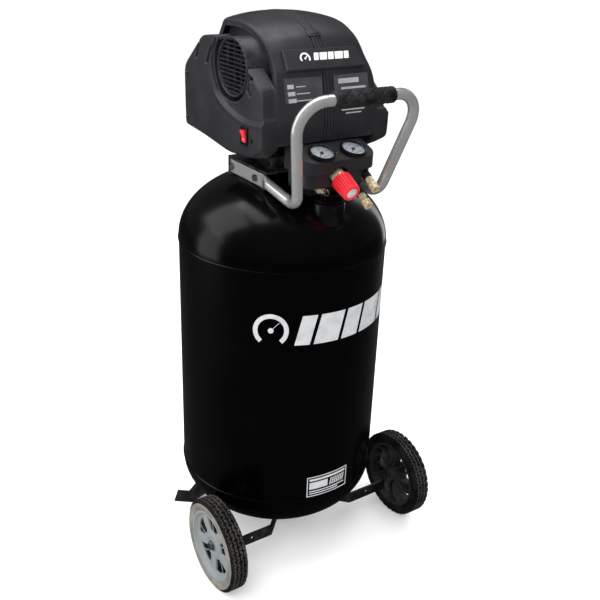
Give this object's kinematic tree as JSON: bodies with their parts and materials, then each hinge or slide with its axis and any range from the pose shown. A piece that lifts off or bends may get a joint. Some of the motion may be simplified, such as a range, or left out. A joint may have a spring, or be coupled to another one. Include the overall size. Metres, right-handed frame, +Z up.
{
  "type": "vertical tank air compressor",
  "caption": "Upright cylindrical air tank on two wheels and rear legs, with a shrouded electric pump on top, a sloping gauge console and a bent tube push handle.",
  "frame": {"origin": "centre of the footprint on the ground; the tank's axis stands 20 mm behind it", "axes": "+Z up, -Y towards the handle and console, +X to the right seen from the front"},
  "size_m": [0.5544, 0.499, 1.205],
  "materials": {
    "tank_paint": "gloss black enamel",
    "black_steel": "semi-gloss black enamel",
    "zinc": "bright zinc",
    "dark_zinc": "dark zinc",
    "brass": "machined",
    "hub_plastic": "satin grey",
    "tyre": "moulded tread",
    "handle_metal": "satin silver",
    "grip_rubber": "matte",
    "pump_casting": "as cast",
    "pump_casting_dark": "black anodised",
    "lamination": "laminated",
    "fan_plastic": "matte",
    "seal": "filled ptfe",
    "cover_plastic": "fine texture charcoal",
    "can_metal": "drawn can",
    "bezel_plastic": "gloss black",
    "red_plastic": "gloss red",
    "knob_cap": "pale",
    "chrome": "bright",
    "dial_white": "printed white",
    "lens": "clear",
    "needle": "black",
    "badge_plastic": "satin black",
    "cord_rubber": "matte"
  },
  "bodies": {
    "tank": {"axle_bolts": "zinc", "badge_plate": "badge_plastic", "centre_cover": "cover_plastic", "check_valve": "brass", "console_housing": "cover_plastic", "coupler_bodies": "brass", "cover_screws": "dark_zinc", "crankcase": "pump_casting", "cylinder_head": "pump_casting", "cylinder_sleeve": "pump_casting", "discharge_tube": "pump_casting", "drain_valve_body": "brass", "gauge_cases": "bezel_plastic", "gauge_dials": "dial_white", "gauge_lenses": "lens", "handle_bolts": "dark_zinc", "handle_grip": "grip_rubber", "handle_tube": "handle_metal", "intake_filter": "cover_plastic", "isolator_bolts": "zinc", "manifold": "pump_casting_dark", "motor_capacitor": "can_metal", "motor_shell": "pump_casting", "motor_stator": "lamination", "power_cord": "cord_rubber", "pressure_switch": "cover_plastic", "pump_base": "black_steel", "pump_saddle": "black_steel", "rear_legs": "black_steel", "regulator_body": "brass", "relief_valve_body": "brass", "shaft_bearings": "zinc", "side_cover_left": "cover_plastic", "side_cover_right": "cover_plastic", "switch_body": "bezel_plastic", "tank_port_bushing": "bezel_plastic", "tank_shell": "tank_paint", "valve_plate": "zinc", "vent_grilles": "bezel_plastic", "vibration_isolators": "grip_rubber", "wheel_bracket_left": "black_steel", "wheel_bracket_right": "black_steel"},
    "left_wheel": {"wheel_hub_left": "hub_plastic", "tyre_left": "tyre"},
    "right_wheel": {"wheel_hub_right": "hub_plastic", "tyre_right": "tyre"},
    "regulator_control": {"regulator_knob": "red_plastic", "knob_cap": "knob_cap"},
    "tank_needle": {"tank_gauge_needle": "needle"},
    "outlet_needle": {"outlet_gauge_needle": "needle"},
    "power_rocker": {"rocker_switch": "red_plastic"},
    "relief_pull": {"relief_valve_ring": "chrome"},
    "drain_tap": {"drain_handle": "brass"},
    "upper_sleeve": {"upper_coupler_sleeve": "brass"},
    "lower_sleeve": {"lower_coupler_sleeve": "brass"},
    "motor_rotor": {"rotor": "lamination", "cooling_fan": "fan_plastic", "eccentric": "lamination"},
    "piston": {"piston_rod": "pump_casting", "piston_cup": "seal"}
  },
  "joints": [
    {"name": "left_wheel_spin", "type": "hinge", "parent": "tank", "child": "left_wheel", "pos_m": [-0.2555, -0.142, 0.1056], "axis": [1, 0, 0], "continuous": true},
    {"name": "right_wheel_spin", "type": "hinge", "parent": "tank", "child": "right_wheel", "pos_m": [0.2555, -0.142, 0.1056], "axis": [1, 0, 0], "continuous": true},
    {"name": "regulator_turn", "type": "hinge", "parent": "tank", "child": "regulator_control", "pos_m": [-0.005, -0.187, 0.917], "axis": [0, -0.91, -0.4147], "range_deg": [-900, 900]},
    {"name": "tank_needle_sweep", "type": "hinge", "parent": "tank", "child": "tank_needle", "pos_m": [-0.0375, -0.164, 0.964], "axis": [0, 0.3256, -0.9455], "range_deg": [0, 270]},
    {"name": "outlet_needle_sweep", "type": "hinge", "parent": "tank", "child": "outlet_needle", "pos_m": [0.0375, -0.164, 0.964], "axis": [0, 0.3256, -0.9455], "range_deg": [0, 270]},
    {"name": "rocker_tip", "type": "hinge", "parent": "tank", "child": "power_rocker", "pos_m": [-0.151, -0.0695, 0.992], "axis": [0, 1, 0], "range_deg": [0, 16]},
    {"name": "relief_pull_out", "type": "slide", "parent": "tank", "child": "relief_pull", "axis": [0, -1, 0], "range_m": [0, 0.005]},
    {"name": "drain_turn", "type": "hinge", "parent": "tank", "child": "drain_tap", "pos_m": [0, 0.02, 0.014], "axis": [0, 0, -1], "range_deg": [0, 540]},
    {"name": "upper_sleeve_pull", "type": "slide", "parent": "tank", "child": "upper_sleeve", "axis": [0, 0.866, 0.5], "range_m": [0, 0.004]},
    {"name": "lower_sleeve_pull", "type": "slide", "parent": "tank", "child": "lower_sleeve", "axis": [0, 0.866, 0.5], "range_m": [0, 0.004]},
    {"name": "motor_spin", "type": "hinge", "parent": "tank", "child": "motor_rotor", "pos_m": [-0.05, -0.015, 1.112], "axis": [1, 0, 0], "continuous": true},
    {"name": "piston_stroke", "type": "slide", "parent": "tank", "child": "piston", "axis": [0, 1, 0], "range_m": [0, 0.024]}
  ]
}
